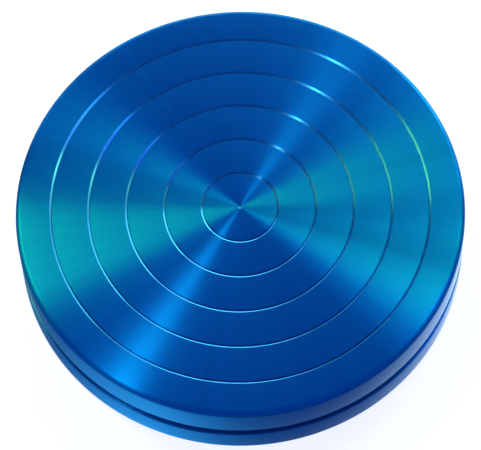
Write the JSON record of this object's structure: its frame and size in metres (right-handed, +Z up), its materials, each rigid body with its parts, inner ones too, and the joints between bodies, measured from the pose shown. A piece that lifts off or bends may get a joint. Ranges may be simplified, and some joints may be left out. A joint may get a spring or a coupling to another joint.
{
  "type": "pottery banding wheel",
  "caption": "Low round pottery turntable: a grooved blue aluminium disc that spins on a hidden ball bearing over a base disc of the same size on rubber feet.",
  "frame": {"origin": "on the spin axis, on the surface that the rubber feet stand on", "axes": "+Z up along the spin axis; X and Y are equal by symmetry, with the feet at 45 degrees to them"},
  "size_m": [0.15, 0.15, 0.0295],
  "materials": {
    "anodised_aluminium": "turned and blue anodised",
    "stainless_sheet": "brushed",
    "ground_steel": "ground",
    "bearing_steel": "polished",
    "pressed_steel": "pressed",
    "spring_steel": "blued",
    "zinc_plated_steel": "zinc plated",
    "black_steel": "black oxide",
    "brass": "machined",
    "black_rubber": "matt"
  },
  "bodies": {
    "base": {"base_disc": "anodised_aluminium", "lower_race": "bearing_steel", "bearing_outer_ring": "bearing_steel", "upper_shield": "pressed_steel", "lower_shield": "pressed_steel", "wave_spring": "spring_steel", "bearing_circlip": "spring_steel", "bottom_cover": "stainless_sheet", "cover_screws": "black_steel", "rubber_foot_1": "black_rubber", "rubber_foot_2": "black_rubber", "rubber_foot_3": "black_rubber", "rubber_foot_4": "black_rubber", "foot_screws": "zinc_plated_steel"},
    "turntable": {"top_disc": "anodised_aluminium", "spindle": "ground_steel", "spindle_screws": "black_steel", "spacer_tube": "ground_steel", "upper_race": "bearing_steel", "bearing_inner_ring": "bearing_steel", "retaining_washer": "zinc_plated_steel", "retaining_screw": "black_steel"},
    "thrust_set": {"thrust_cage": "brass", "thrust_balls": "bearing_steel"},
    "bearing_set": {"bearing_cage": "pressed_steel", "bearing_balls": "bearing_steel"}
  },
  "joints": [
    {"name": "turntable_spin", "type": "hinge", "parent": "base", "child": "turntable", "pos_m": [0, 0, 0.0145], "axis": [0, 0, 1], "continuous": true},
    {"name": "thrust_cage_spin", "type": "hinge", "parent": "base", "child": "thrust_set", "pos_m": [0, 0, 0.0145], "axis": [0, 0, 1], "continuous": true},
    {"name": "bearing_cage_spin", "type": "hinge", "parent": "base", "child": "bearing_set", "pos_m": [0, 0, 0.0078], "axis": [0, 0, 1], "continuous": true}
  ],
  "couplings": [
    {"joint": "thrust_cage_spin", "follows": "turntable_spin", "ratio": 0.5},
    {"joint": "bearing_cage_spin", "follows": "turntable_spin", "ratio": 0.439}
  ]
}
